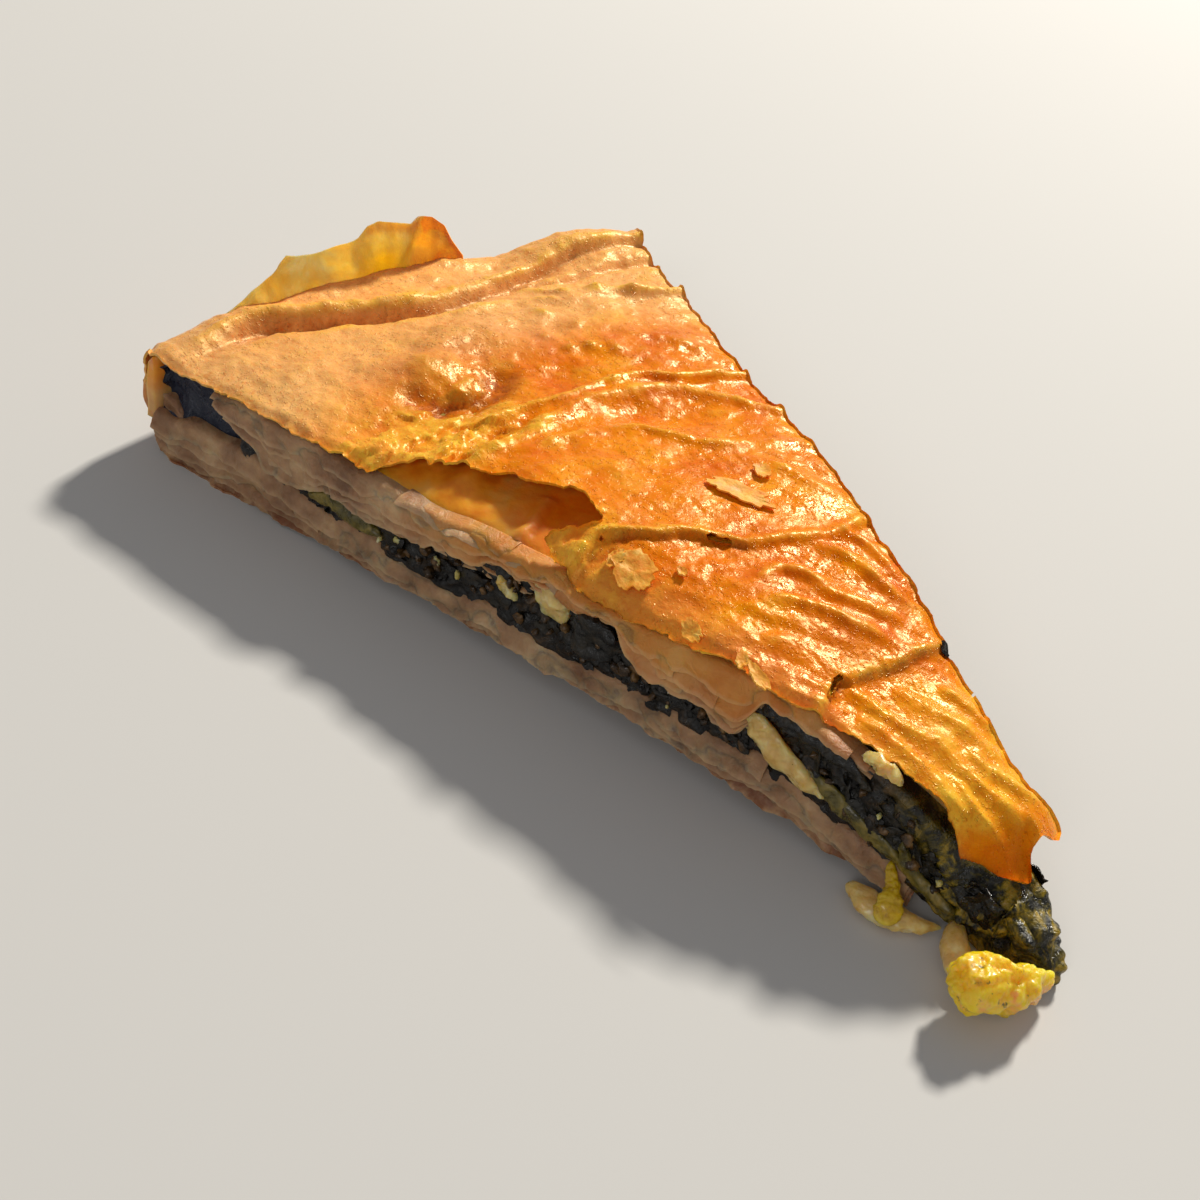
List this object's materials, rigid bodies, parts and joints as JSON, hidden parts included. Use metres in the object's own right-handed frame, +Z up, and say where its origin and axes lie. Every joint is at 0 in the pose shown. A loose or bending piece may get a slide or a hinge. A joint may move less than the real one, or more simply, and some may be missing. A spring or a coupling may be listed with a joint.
{
  "type": "spanakopita slice",
  "caption": "Wedge slice of a round phyllo pie: browned top crust, spinach filling, pale bottom crust, standing flap on the rim and a torn tip with fallen scraps.",
  "frame": {"origin": "centre of the bounding box on the surface the slice stands on", "axes": "+X from the rim to the tip, -Y the left-hand cut, +Z up"},
  "size_m": [0.1916, 0.1148, 0.0319],
  "materials": {
    "bottom_crust": "pale baked phyllo sheets, browned underneath",
    "spinach_filling": "wet, dark cooked spinach leaves",
    "top_crust": "golden-orange phyllo with an oily, sparkling sheen",
    "egg_crust": "crumbly yellow pastry soaked with egg",
    "onion": "soft cream-coloured cooked onion",
    "leek": "wet yellow leek"
  },
  "bodies": {
    "root": {"bottom_crust": "bottom_crust", "spinach_filling": "spinach_filling", "top_crust": "top_crust", "rim_flap": "top_crust", "crust_scrap": "egg_crust", "onion_petal": "onion", "onion_strip": "onion", "leek_strand": "leek"}
  },
  "joints": []
}
